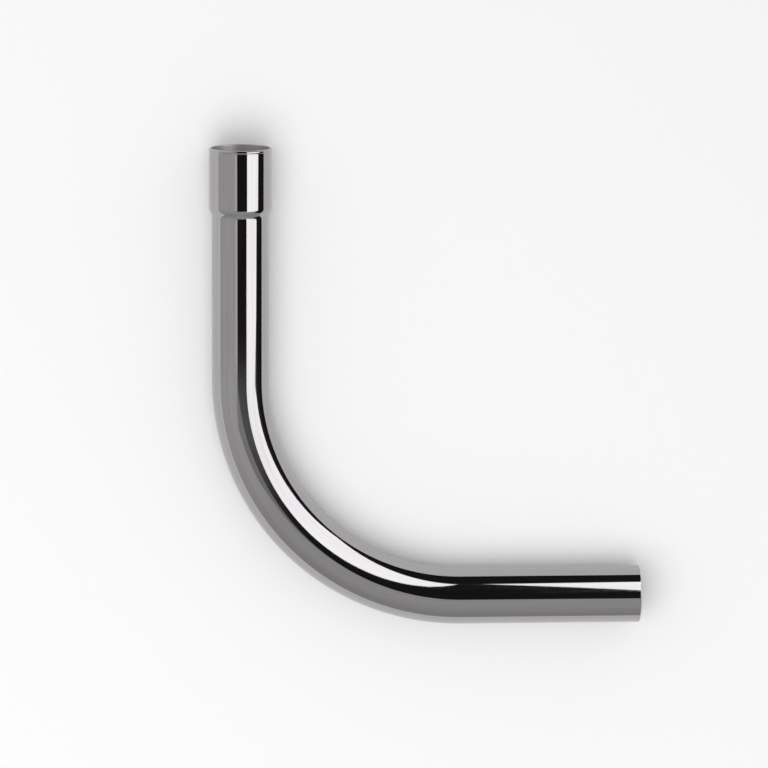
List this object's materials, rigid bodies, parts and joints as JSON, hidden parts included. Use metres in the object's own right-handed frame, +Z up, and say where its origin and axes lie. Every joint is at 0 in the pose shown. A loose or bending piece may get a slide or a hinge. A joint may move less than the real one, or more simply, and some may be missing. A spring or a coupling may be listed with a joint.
{
  "type": "flush pipe elbow",
  "caption": "Right-angle flush pipe elbow in bright plated tube, with a plain end on one leg and an expanded, lipped socket on the other.",
  "frame": {"origin": "middle of the pipe's outline in plan, on the surface that it lies on", "axes": "+X along the plain leg, out of the plain end; +Y along the socket leg, out of the socket, which leans up by 0.39 degrees because the wider socket lifts it; +Z up, square to the surface it lies on"},
  "size_m": [0.2417, 0.2692, 0.0354],
  "materials": {
    "chrome_plate": "bright polished plating on brass tube, inside and out"
  },
  "bodies": {
    "root": {"elbow_tube": "chrome_plate"}
  },
  "joints": []
}
